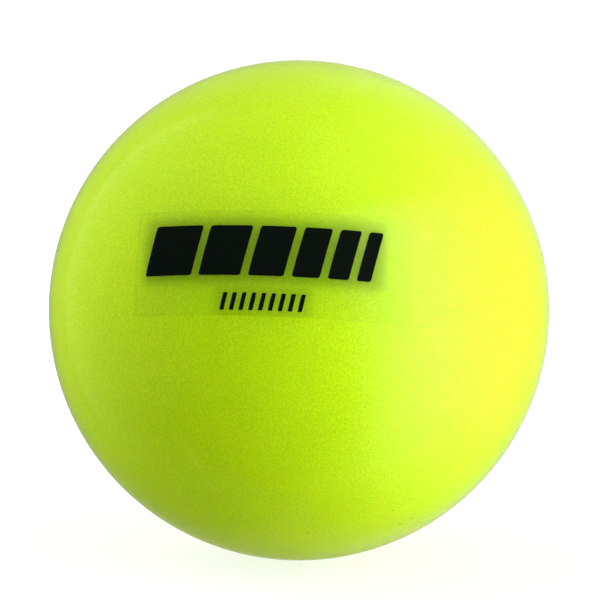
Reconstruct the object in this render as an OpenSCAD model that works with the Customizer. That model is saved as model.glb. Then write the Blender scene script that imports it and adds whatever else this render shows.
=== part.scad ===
// Indoor hockey ball: one seamless moulding with a smooth outside and a sealed hollow middle.
// The origin is the centre of the ball. The moulding stands on a single point, straight below it.

/* [Ball] */
// Girth of the ball, the way round it that the rules of the game limit
girth = 229.5; // [224:0.5:235]
// Thickness of the moulded wall, which sets the weight of the ball
wall = 9.7; // [6:0.1:14]

/* [Hidden] */
$fn = 128;

ball_d = girth / PI;
chamber_d = ball_d - 2 * wall;

// The wall in section: half a ring, from the bottom pole of the ball to the top one
module wall_section() {
    difference() {
        circle(d = ball_d);
        circle(d = chamber_d);
        translate([-ball_d, -ball_d])
            square([ball_d, 2 * ball_d]);
    }
}

// The whole moulding, with its closed chamber inside
module ball() {
    color([0.81, 0.97, 0.12])
        rotate_extrude()
            wall_section();
}

ball();
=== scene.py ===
import math

import bpy
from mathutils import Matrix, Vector


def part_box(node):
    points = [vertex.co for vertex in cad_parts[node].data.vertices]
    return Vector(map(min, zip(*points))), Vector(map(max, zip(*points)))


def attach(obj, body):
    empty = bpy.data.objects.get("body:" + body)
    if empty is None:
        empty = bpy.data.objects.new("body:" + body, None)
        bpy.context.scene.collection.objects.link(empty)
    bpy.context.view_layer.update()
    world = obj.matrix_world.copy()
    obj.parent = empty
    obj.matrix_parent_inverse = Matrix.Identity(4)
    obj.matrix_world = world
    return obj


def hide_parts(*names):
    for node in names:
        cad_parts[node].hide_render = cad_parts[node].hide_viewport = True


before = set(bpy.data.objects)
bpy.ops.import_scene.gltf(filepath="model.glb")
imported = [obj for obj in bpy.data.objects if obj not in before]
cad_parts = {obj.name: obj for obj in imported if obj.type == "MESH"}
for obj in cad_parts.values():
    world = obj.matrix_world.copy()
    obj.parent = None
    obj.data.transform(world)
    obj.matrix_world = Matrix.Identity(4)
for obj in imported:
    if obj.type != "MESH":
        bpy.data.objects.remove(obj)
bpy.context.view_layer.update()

MM = 0.001

# The camera looks at the printed side of the ball through a long lens, from a little above it.
# The ball's middle and radius in the photo, in pixels, set how far off the camera stands.
PHOTO_HALF = 300
BALL_MIDDLE = (298.98, 310.25)
BALL_RADIUS_PX = 250.15
LENS_MM = 200
SENSOR_MM = 36
CAMERA_RISE = math.radians(10)
NEAREST_SEEN = 0.01
FARTHEST_SEEN = 20

ball_low, ball_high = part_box("ball")
ball_radius = (ball_high.z - ball_low.z) / 2
slope_per_pixel = SENSOR_MM / 2 / LENS_MM / PHOTO_HALF
towards_camera = Vector((0, -math.cos(CAMERA_RISE), math.sin(CAMERA_RISE)))
camera_right = Vector((1, 0, 0))
camera_up = towards_camera.cross(camera_right)
camera_distance = ball_radius / math.sin(math.atan(BALL_RADIUS_PX * slope_per_pixel))
across = (PHOTO_HALF - BALL_MIDDLE[0]) * slope_per_pixel * camera_distance
above = (BALL_MIDDLE[1] - PHOTO_HALF) * slope_per_pixel * camera_distance
camera_place = towards_camera * camera_distance + camera_right * across + camera_up * above

bpy.ops.object.camera_add(location=camera_place)
camera = bpy.context.object
camera.name = "camera"
camera.rotation_mode = "QUATERNION"
camera.rotation_quaternion = towards_camera.to_track_quat("Z", "Y")
camera.data.lens = LENS_MM
camera.data.sensor_width = SENSOR_MM
camera.data.clip_start = NEAREST_SEEN
camera.data.clip_end = FARTHEST_SEEN
bpy.context.scene.camera = camera
bpy.context.scene.view_settings.view_transform = "Standard"


def on_ball(pixel):
    """The place on the ball that the camera sees at a pixel of the photo."""
    ray = (camera_right * (pixel[0] - PHOTO_HALF) + camera_up * (PHOTO_HALF - pixel[1])) * slope_per_pixel
    ray = (ray - towards_camera).normalized()
    nearest = -camera_place.dot(ray)
    miss_squared = camera_place.length_squared - nearest ** 2
    return camera_place + ray * (nearest - math.sqrt(ball_radius ** 2 - miss_squared))


# The studio is a large light tent of white cloth round a white table. Behind the cloth on the right
# hangs a broad soft lamp, on the left a dimmer panel with a soft edge, and the front is open and dark.
# Places in the tent are given in degrees: round it from the camera to the right, and up from its level.
TENT_RADIUS = 3
TENT_ROUNDNESS = 4
WALL_GLOW = 0.133
TOP_GLOW = 0.29
OPENING_DARKNESS = 0.87
LAMP_LEAN = 0.27
LAMP_GLOW = 5.13
ABOVE_LAMP_GLOW = 0.23
BEHIND_LAMP_GLOW = 0.29
PANEL_LEAN = 0.15
PANEL_GLOW = 0.154
HEM_GLOW = 0.12
BEHIND_BALL_GLOW = 0.1
RIGHT_BACK_LOSS = 0.28
RIGHT_BACK_GAIN = 0.13
PAST_PANEL_LOSS = 0.21
TO_DEGREES = 180 / math.pi


class Wire:
    """The output of a shader node. Sums and products of wires and numbers add their Math nodes."""

    def __init__(self, shader, socket):
        self.shader = shader
        self.socket = socket

    def __add__(self, other):
        return self.shader.math("ADD", self, other)

    def __radd__(self, other):
        return self.shader.math("ADD", other, self)

    def __sub__(self, other):
        return self.shader.math("SUBTRACT", self, other)

    def __rsub__(self, other):
        return self.shader.math("SUBTRACT", other, self)

    def __mul__(self, other):
        return self.shader.math("MULTIPLY", self, other)

    def __rmul__(self, other):
        return self.shader.math("MULTIPLY", other, self)

    def step(self, start, end):
        """Rises smoothly from 0 at start to 1 at end."""
        settings = {"interpolation_type": "SMOOTHSTEP"}
        return self.shader.node("ShaderNodeMapRange", settings, {0: self, 1: start, 2: end})


class Shader:
    """The nodes of one material or of the world."""

    def __init__(self, owner):
        owner.use_nodes = True
        self.tree = owner.node_tree
        self.tree.nodes.clear()

    def node(self, kind, settings={}, inputs={}, output=0):
        """Adds a node, with its settings first and then the values or wires of its sockets."""
        made = self.tree.nodes.new(kind)
        for name, value in settings.items():
            setattr(made, name, value)
        for name, value in inputs.items():
            if isinstance(value, Wire):
                self.tree.links.new(value.socket, made.inputs[name])
            else:
                made.inputs[name].default_value = value
        return Wire(self, made.outputs[output]) if len(made.outputs) else made

    def math(self, operation, *values):
        return self.node("ShaderNodeMath", {"operation": operation}, dict(enumerate(values)))

    def mix(self, factor, first, second):
        """A colour from the first at a factor of 0 to the second at 1."""
        return self.node("ShaderNodeMix", {"data_type": "RGBA"}, {0: factor, 6: first, 7: second}, 2)

    def xyz(self, vector):
        """The three numbers of a vector."""
        split = self.node("ShaderNodeSeparateXYZ", {}, {0: vector}).socket.node
        return [Wire(self, socket) for socket in split.outputs]


def new_material(name):
    """A material and its shader, with no nodes yet."""
    material = bpy.data.materials.new(name)
    return material, Shader(material)


tent_material, cloth = new_material("tent_cloth")
place = cloth.node("ShaderNodeTexCoord", output="Object")
turned = cloth.node("ShaderNodeMapping", {}, {"Vector": place, "Rotation": (CAMERA_RISE, 0, 0)})
way_x, way_y, way_z = cloth.xyz(cloth.node("ShaderNodeVectorMath", {"operation": "NORMALIZE"}, {0: turned}))
azimuth = cloth.math("ARCTAN2", way_x, 0 - way_y) * TO_DEGREES
rise = cloth.math("ARCSINE", way_z) * TO_DEGREES

# The bare cloth glows more towards the top, and hardly at all in the opening at the front.
wall_glow = WALL_GLOW + TOP_GLOW * rise.step(-43, 51)
opening = azimuth.step(-110, -55) * (1 - azimuth.step(-37, 46)) * (1 - rise.step(-10, 40))

# The lamp is brightest in its middle, and lights the cloth above and behind it a little.
leaning = azimuth + LAMP_LEAN * rise
lamp = leaning.step(11, 76) * (1 - leaning.step(0, 148)) * rise.step(-82, -20) * (1 - rise.step(29, 51))
above_lamp = azimuth.step(-20, 60) * (1 - azimuth.step(90, 180)) * rise.step(25, 45)
behind_lamp = azimuth.step(60, 130) * (1 - azimuth.step(165, 180))
behind_lamp = behind_lamp * rise.step(-70, -20) * (1 - rise.step(40, 75))

# The panel leans too. Along its edge, which is towards the back, runs a brighter hem.
panel_azimuth = azimuth + PANEL_LEAN * rise
panel_edge = panel_azimuth.step(-136.5, -130.5)
panel_hem = 1 - panel_azimuth.step(-130.5, -117)
panel_cloth = 1 - panel_azimuth.step(-70, -40)
panel_height = rise.step(-48, -15) * (1 - rise.step(49, 65))
hem_glow = HEM_GLOW * rise.step(-15, 50)
panel = panel_edge * panel_height * (PANEL_GLOW * panel_cloth + hem_glow * panel_hem)

# The walls are dimmer towards the back and past the panel's edge, and glow again right behind the ball.
behind_ball = (azimuth * azimuth).step(150 ** 2, 172 ** 2)
walls = wall_glow * (1 - OPENING_DARKNESS * opening)
lamp_side = LAMP_GLOW * lamp + ABOVE_LAMP_GLOW * above_lamp + BEHIND_LAMP_GLOW * behind_lamp
right_share = 1 - RIGHT_BACK_LOSS * azimuth.step(40, 150) + RIGHT_BACK_GAIN * azimuth.step(152, 180)
left_share = 1 - PAST_PANEL_LOSS + PAST_PANEL_LOSS * panel_edge
glow = (walls + lamp_side) * right_share * left_share + panel + BEHIND_BALL_GLOW * behind_ball
light = cloth.node("ShaderNodeEmission", {}, {"Strength": glow})
cloth.node("ShaderNodeOutputMaterial", {}, {"Surface": light})

bpy.ops.mesh.primitive_ico_sphere_add(subdivisions=TENT_ROUNDNESS, radius=TENT_RADIUS)
tent = bpy.context.object
tent.name = "light_tent"
tent.data.materials.append(tent_material)
tent.visible_camera = False

# Six round fill lamps light the ball from all sides. They show in no reflection.
FILL_DISTANCE = 1.5


def add_fill(name, azimuth, rise, half_angle, radiance):
    """A fill lamp at a place in the tent, as wide as its half angle seen from the ball, in degrees."""
    azimuth, rise = math.radians(azimuth), math.radians(rise)
    level_way = camera_right * math.sin(azimuth) + towards_camera * math.cos(azimuth)
    way = level_way * math.cos(rise) + camera_up * math.sin(rise)
    lamp_radius = FILL_DISTANCE * math.tan(math.radians(half_angle))
    lamp_area = math.pi * lamp_radius ** 2
    bpy.ops.object.light_add(type="AREA", location=way * FILL_DISTANCE)
    fill = bpy.context.object
    fill.name = name
    fill.rotation_mode = "QUATERNION"
    fill.rotation_quaternion = way.to_track_quat("Z", "Y")
    fill.data.shape = "DISK"
    fill.data.size = 2 * lamp_radius
    fill.data.energy = radiance * math.pi * lamp_area
    fill.visible_camera = False
    fill.visible_glossy = False


add_fill("left_fill", -90, 30, 30, 2.14)
add_fill("left_back_fill", -120, 0, 30, 1.15)
add_fill("low_left_fill", -120, -40, 30, 0.7)
add_fill("right_fill", 60, 0, 30, 1.28)
add_fill("right_back_fill", 150, -8, 30, 1.5)
add_fill("low_right_fill", 30, -35, 25, 0.5)

# The world is the white that the camera sees past the table. The table's top glows nearly to white, and
# the light on its grey does the rest, so only the ball's faint shadow shows. It throws no light back.
FLOOR_SIZE = 4
FLOOR_GREY = (0.35, 0.35, 0.35, 1)
FLOOR_GLOW = 0.75
WHITE = (1, 1, 1, 1)

world = bpy.data.worlds.new("studio")
bpy.context.scene.world = world
sky = Shader(world)
white = sky.node("ShaderNodeBackground", {}, {"Color": WHITE, "Strength": 1})
sky.node("ShaderNodeOutputWorld", {}, {"Surface": white})

floor_material, table = new_material("white_table")
table_top = table.node("ShaderNodeBsdfPrincipled", {}, {
    "Base Color": FLOOR_GREY, "Roughness": 0.8,
    "Emission Color": WHITE, "Emission Strength": FLOOR_GLOW})
table.node("ShaderNodeOutputMaterial", {}, {"Surface": table_top})
bpy.ops.mesh.primitive_plane_add(size=FLOOR_SIZE, location=(0, 0, ball_low.z))
floor = bpy.context.object
floor.name = "floor"
floor.data.materials.append(floor_material)
floor.visible_diffuse = False
floor.visible_glossy = False
floor.visible_shadow = False

# The ball is one hollow moulding of yellow-green plastic with a polished skin and no seam.
# Light goes some way into the plastic, so the print has a soft dark edge all round; painted shade in the film
# adds to it.
GRID_LEVELS = 6
MOTTLE_SIZE = 8 * MM
MOTTLE_STRENGTH = 0.5
GRAIN_SIZE = 0.22 * MM
GRAIN_STRENGTH = 3
PEEL_SIZE = 2.5 * MM
PEEL_DEPTH = 0.006 * MM
PLASTIC_DARKER = (0.497, 0.81, 0.005, 1)
PLASTIC_LIGHTER = (0.635, 0.932, 0.0065, 1)
PLASTIC_IOR = 1.38
LIGHT_REACH = 20 * MM
REACH_BY_COLOUR = (1.0, 0.6, 0.2)
SHEEN_TINT = (0.8, 1, 0.1, 1)

# A cube is cut into a grid and rounded off, so the ball has even faces and no poles. Its wall grows
# inwards, as thick as the CAD ball's.
chamber_radius = min(v.co.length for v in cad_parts["ball"].data.vertices)
bpy.ops.object.select_all(action="DESELECT")
bpy.ops.mesh.primitive_cube_add(size=2 * ball_radius)
ball = bpy.context.object
ball.name = "ball_body"
grid = ball.modifiers.new("grid", "SUBSURF")
grid.subdivision_type = "SIMPLE"
grid.levels = GRID_LEVELS
grid.render_levels = GRID_LEVELS
bpy.ops.object.modifier_apply(modifier="grid")
round_off = ball.modifiers.new("round", "CAST")
round_off.factor = 1
round_off.use_radius_as_size = False
round_off.size = ball_radius
bpy.ops.object.modifier_apply(modifier="round")
wall = ball.modifiers.new("wall", "SOLIDIFY")
wall.thickness = ball_radius - chamber_radius
wall.offset = -1
bpy.ops.object.modifier_apply(modifier="wall")
bpy.ops.object.shade_smooth()

ball_material, plastic = new_material("yellow_green_plastic")
here = plastic.node("ShaderNodeTexCoord", output="Object")


def cloudy(shader, place, size, detail):
    """Soft noise from 0 to 1 whose lumps are about as wide as the size."""
    return shader.node("ShaderNodeTexNoise", {}, {"Vector": place, "Scale": 1 / size, "Detail": detail})


# The colour is mottled in soft clouds a few millimetres wide, and has a fine grain.
mottle = cloudy(plastic, here, MOTTLE_SIZE, 3)
grain = cloudy(plastic, here, GRAIN_SIZE, 1)
tone = (0.5 + MOTTLE_STRENGTH * (mottle - 0.5) + GRAIN_STRENGTH * (grain - 0.5)).step(0, 1)
plain = plastic.mix(tone, PLASTIC_DARKER, PLASTIC_LIGHTER)

# Five dark specks of dirt sit in the skin. Each has its pixel in the photo, a pixel that it points
# toward, its length and its width.
SPECKS = [
    ((79.6, 288.2), (81.6, 288.4), 0.38 * MM, 0.28 * MM),
    ((411.7, 517.9), (413.4, 516.2), 0.95 * MM, 0.36 * MM),
    ((400.4, 523.9), (403.4, 523.7), 1.05 * MM, 0.4 * MM),
    ((393.2, 510.1), (395.2, 510.4), 0.4 * MM, 0.3 * MM),
    ((308, 533), (310, 533), 0.45 * MM, 0.35 * MM),
]
SPECK_BROWN = (0.18, 0.22, 0.03, 1)
SPECK_STRENGTH = 0.8
CORE_SHARE = 0.3


def smudge(pixel, toward, length, width):
    """A soft long mark, 1 in its middle, at a pixel of the photo. It points toward another pixel."""
    middle = on_ball(pixel)
    outward = middle.normalized()
    along = (on_ball(toward) - middle).normalized()
    beside = outward.cross(along)
    offset = plastic.node("ShaderNodeVectorMath", {"operation": "SUBTRACT"}, {0: here, 1: middle})
    squared = 0
    for direction, size in ((along, length), (beside, width), (outward, length)):
        far = plastic.node("ShaderNodeVectorMath", {"operation": "DOT_PRODUCT"}, {0: offset, 1: direction}, 1)
        far = far * (2 / size)
        squared = squared + far * far
    return 1 - plastic.math("SQRT", squared).step(CORE_SHARE, 1)


speck = sum(smudge(*one) for one in SPECKS)
dusty = plastic.mix(speck * SPECK_STRENGTH, plain, SPECK_BROWN)

# The pale scuff at the lower left is a broken streak with a narrower tail. The skin is duller there.
SCUFF_PALE = (0.75, 1, 0.03, 1)
SCUFF_STRENGTH = 0.28
scuff_break = cloudy(plastic, here, 0.5 * MM, 2).step(0.1, 0.6)
scuff_head = smudge((195, 461), (208, 480), 7.5 * MM, 2.5 * MM)
scuff_tail = smudge((211, 486), (223, 495), 5.5 * MM, 1.4 * MM)
scuff = plastic.math("MAXIMUM", scuff_head, scuff_tail) * scuff_break
scuffed = plastic.mix(scuff * SCUFF_STRENGTH, dusty, SCUFF_PALE)

# The skin has a very shallow peel, and the scuff is rough with the grain.
relief = cloudy(plastic, here, PEEL_SIZE, 2) - scuff * grain
surface = plastic.node("ShaderNodeBump", {}, {"Strength": 1, "Distance": PEEL_DEPTH, "Height": relief})
skin = plastic.node("ShaderNodeBsdfPrincipled", {}, {
    "Base Color": scuffed, "Roughness": 0.045 + 0.02 * mottle + 0.1 * scuff,
    "IOR": PLASTIC_IOR, "Normal": surface,
    "Subsurface Weight": 1, "Subsurface Radius": REACH_BY_COLOUR, "Subsurface Scale": LIGHT_REACH,
    "Sheen Weight": 0.3, "Sheen Roughness": 0.25, "Sheen Tint": SHEEN_TINT})
plastic.node("ShaderNodeOutputMaterial", {}, {"Surface": skin})
ball.data.materials.append(ball_material)
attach(ball, "root")
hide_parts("ball")

# The print comes on a clear film, a few hundredths of a millimetre thick with its corners cut round.
# It is rolled on hot, so its rows follow circles round the ball, and it stays as a faint oblong.
CELL = 0.8 * MM
CORNER_CUTS = 5
FILM_MIDDLE = (267.6, 262.3)
FILM_WIDTH = 40 * MM
FILM_HEIGHT = 14.7 * MM
FILM_CORNER = 0.8 * MM
FILM_THICKNESS = 0.04 * MM
UNDER_SKIN = 0.01 * MM
ROLLED_BACK = math.tan(math.radians(8.6))
ROLLED_RIGHT = math.tan(math.radians(3))
SHARP_EDGE = math.radians(40)
roll_axis = (camera_up + camera_right * ROLLED_RIGHT - towards_camera * ROLLED_BACK).normalized()
film_out = on_ball(FILM_MIDDLE).normalized()
film_height = film_out.dot(roll_axis)
film_front = (film_out - roll_axis * film_height).normalized()
film_side = roll_axis.cross(film_front)

# Two rows of print lie on the film, a large one above a small one. These are their sizes, and their
# places on its sheet from its middle.
BAR_WIDTHS_MM = [7.3, 6.0, 4.9, 3.8, 2.9, 2.0]
BAR_GAP = 1.1 * MM
BAR_HEIGHT = 7 * MM
BAR_SLANT = 1.5 * MM
BARS_RIGHT = -1.2 * MM
BARS_UP = 1.65 * MM
TICK_COUNT = 9
TICK_WIDTH = 0.6 * MM
TICK_HEIGHT = 2.4 * MM
TICK_PITCH = 1.35 * MM
TICK_SLANT = 0.5 * MM
TICKS_RIGHT = -0.5 * MM
TICKS_UP = -5.4 * MM
bars_length = sum(BAR_WIDTHS_MM) * MM + BAR_GAP * (len(BAR_WIDTHS_MM) - 1)
ticks_length = TICK_PITCH * (TICK_COUNT - 1) + TICK_WIDTH


def flat_patch(name, width, height, slant, corner):
    """A flat patch with round corners and leaning ends, cut into cells so that it can be bent."""
    bpy.ops.object.select_all(action="DESELECT")
    bpy.ops.mesh.primitive_plane_add(size=1)
    patch = bpy.context.object
    patch.name = name
    bpy.ops.object.mode_set(mode="EDIT")
    bpy.ops.transform.resize(value=(width, height, 1))
    bpy.ops.object.mode_set(mode="OBJECT")
    # The upper side is pushed right by the slant, and then the patch goes back by half of it.
    for part in list(patch.data.polygons) + list(patch.data.edges):
        part.select = False
    for vertex in patch.data.vertices:
        vertex.select = vertex.co.y > 0
    bpy.ops.object.mode_set(mode="EDIT")
    bpy.ops.transform.translate(value=(slant, 0, 0))
    bpy.ops.mesh.select_all(action="SELECT")
    bpy.ops.transform.translate(value=(-slant / 2, 0, 0))
    bpy.ops.mesh.bevel(affect="VERTICES", offset=corner, segments=CORNER_CUTS)
    half_width = (width + abs(slant)) / 2
    for side, reach in ((Vector((1, 0, 0)), half_width), (Vector((0, 1, 0)), height / 2)):
        cuts = math.floor(reach / CELL)
        for cut in range(-cuts, cuts + 1):
            bpy.ops.mesh.select_all(action="SELECT")
            bpy.ops.mesh.bisect(plane_co=side * cut * CELL, plane_no=side)
    bpy.ops.object.mode_set(mode="OBJECT")
    return patch


def thicken(patch, thickness):
    """Gives a flat patch its thickness, on the side away from the ball."""
    wall = patch.modifiers.new("thickness", "SOLIDIFY")
    wall.thickness = thickness
    wall.offset = 1
    bpy.ops.object.modifier_apply(modifier="thickness")


def roll_on(patch, lift):
    """Rolls a patch that lies flat on the film's own sheet onto the ball, lifted off the skin."""
    for vertex in patch.data.vertices:
        latitude = math.asin(film_height) + vertex.co.y / ball_radius
        longitude = vertex.co.x / (ball_radius * math.cos(latitude))
        level = film_front * math.cos(longitude) + film_side * math.sin(longitude)
        place = level * math.cos(latitude) + roll_axis * math.sin(latitude)
        vertex.co = place * (ball_radius + lift + vertex.co.z)


film = flat_patch("transfer_film", FILM_WIDTH, FILM_HEIGHT, 0, FILM_CORNER)
thicken(film, FILM_THICKNESS)
roll_on(film, -UNDER_SKIN)
bpy.ops.object.shade_smooth_by_angle(angle=SHARP_EDGE)

# The film is all but clear. A thin green rim shows along its edge in places, most at the left. Round the ink
# the film is painted dark, less round the small row: painted shade for the shadow the ink throws into the
# plastic.
RIM_SOLID = 0.1 * MM
RIM_WIDTH = 0.5 * MM
RIM_BREAK_SIZE = 4 * MM
HAZE_SIZE = 1.5 * MM
PAINTED_SHADE_WIDTH = 2.2 * MM
SMALL_ROW_PAINTED_SHADE = 0.6
FILM_GREEN = (0.02, 0.28, 0.01, 1)
PAINTED_SHADE_GREEN = (0.01, 0.08, 0.005, 1)
FILM_ALPHA = 0.04
HAZE_ALPHA = 0.03
RIM_ALPHA = 0.032
PAINTED_SHADE_ALPHA = 0.24
film_material, clear = new_material("transfer_film")
film_place = clear.node("ShaderNodeTexCoord", output="Object")
sheet_x, sheet_y = clear.xyz(clear.node("ShaderNodeTexCoord", output="UV"))[:2]
from_end = clear.math("MINIMUM", sheet_x, 1 - sheet_x) * FILM_WIDTH
from_side = clear.math("MINIMUM", sheet_y, 1 - sheet_y) * FILM_HEIGHT
rim = 1 - clear.math("MINIMUM", from_end, from_side).step(RIM_SOLID, RIM_WIDTH)
held_rim = rim * cloudy(clear, film_place, RIM_BREAK_SIZE, 1).step(0.3, 0.6) * (1 - 0.7 * sheet_x)
haze = cloudy(clear, film_place, HAZE_SIZE, 3)


def painted_shade_round(right, up, length, height):
    """Painted shade in the film round a row of print, for the ink's shadow in the plastic: 1 at the ink and 0
    past its width.
    """
    beside = clear.math("ABSOLUTE", (sheet_x - 0.5) * FILM_WIDTH - right)
    over = clear.math("ABSOLUTE", (sheet_y - 0.5) * FILM_HEIGHT - up)
    beside = clear.math("MAXIMUM", beside - length / 2, 0)
    over = clear.math("MAXIMUM", over - height / 2, 0)
    return 1 - clear.math("SQRT", beside * beside + over * over).step(0, PAINTED_SHADE_WIDTH)


# Painted shade: the film darkens round both rows of ink in place of the shadow the ink casts inside the
# plastic.
bars_painted_shade = painted_shade_round(BARS_RIGHT, BARS_UP, bars_length, BAR_HEIGHT)
ticks_painted_shade = painted_shade_round(TICKS_RIGHT, TICKS_UP, ticks_length, TICK_HEIGHT)
painted_shade = clear.math("MAXIMUM", bars_painted_shade, SMALL_ROW_PAINTED_SHADE * ticks_painted_shade)
alpha = FILM_ALPHA + HAZE_ALPHA * haze + RIM_ALPHA * held_rim + PAINTED_SHADE_ALPHA * painted_shade
film_look = clear.node("ShaderNodeBsdfPrincipled", {}, {
    "Base Color": clear.mix(painted_shade, FILM_GREEN, PAINTED_SHADE_GREEN), "Roughness": 0.1,
    "IOR": PLASTIC_IOR, "Alpha": alpha})
clear.node("ShaderNodeOutputMaterial", {}, {"Surface": film_look})
film.data.materials.append(film_material)
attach(film, "root")

# The print is black ink on the film: a row of leaning bars that get narrower from left to right, and a
# row of short ticks below it. It was rolled on with the film, so it follows the ball's round.
INK_THICKNESS = 0.02 * MM
INK_LIFT = FILM_THICKNESS - UNDER_SKIN
BAR_CORNER = 0.35 * MM
TICK_CORNER = 0.12 * MM
INK_GRAIN_SIZE = 0.3 * MM
INK_BLACK = (0.002, 0.0045, 0.003, 1)
INK_PALER = (0.005, 0.008, 0.005, 1)

ink_material, ink = new_material("black_ink")
ink_grain = cloudy(ink, ink.node("ShaderNodeTexCoord", output="Object"), INK_GRAIN_SIZE, 2)
ink_look = ink.node("ShaderNodeBsdfPrincipled", {}, {
    "Base Color": ink.mix(ink_grain, INK_BLACK, INK_PALER),
    "Roughness": 0.35 + 0.1 * ink_grain, "IOR": 1.05})
ink.node("ShaderNodeOutputMaterial", {}, {"Surface": ink_look})


def finish_print(piece, right, up):
    """Moves a print that is drawn round the sheet's middle to its place and rolls it on."""
    for vertex in piece.data.vertices:
        vertex.co += Vector((right, up, 0))
    thicken(piece, INK_THICKNESS)
    roll_on(piece, INK_LIFT)
    bpy.ops.object.shade_smooth_by_angle(angle=SHARP_EDGE)
    piece.data.materials.append(ink_material)
    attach(piece, "root")


# The bars are drawn side by side from the left and joined.
bar_left = -bars_length / 2
bars = []
for number, width in enumerate(BAR_WIDTHS_MM):
    bar = flat_patch(f"bar_{number + 1}", width * MM, BAR_HEIGHT, BAR_SLANT, BAR_CORNER)
    for vertex in bar.data.vertices:
        vertex.co.x += bar_left + width * MM / 2
    bar_left += width * MM + BAR_GAP
    bars.append(bar)
for bar in bars:
    bar.select_set(True)
bpy.ops.object.join()
print_bars = bpy.context.object
print_bars.name = "print_bars"
finish_print(print_bars, BARS_RIGHT, BARS_UP)

# The ticks are all alike, so one is made and then repeated along the row.
print_ticks = flat_patch("print_ticks", TICK_WIDTH, TICK_HEIGHT, TICK_SLANT, TICK_CORNER)
for vertex in print_ticks.data.vertices:
    vertex.co.x -= TICK_PITCH * (TICK_COUNT - 1) / 2
row = print_ticks.modifiers.new("row", "ARRAY")
row.count = TICK_COUNT
row.use_relative_offset = False
row.use_constant_offset = True
row.constant_offset_displace = (TICK_PITCH, 0, 0)
bpy.ops.object.modifier_apply(modifier="row")
finish_print(print_ticks, TICKS_RIGHT, TICKS_UP)
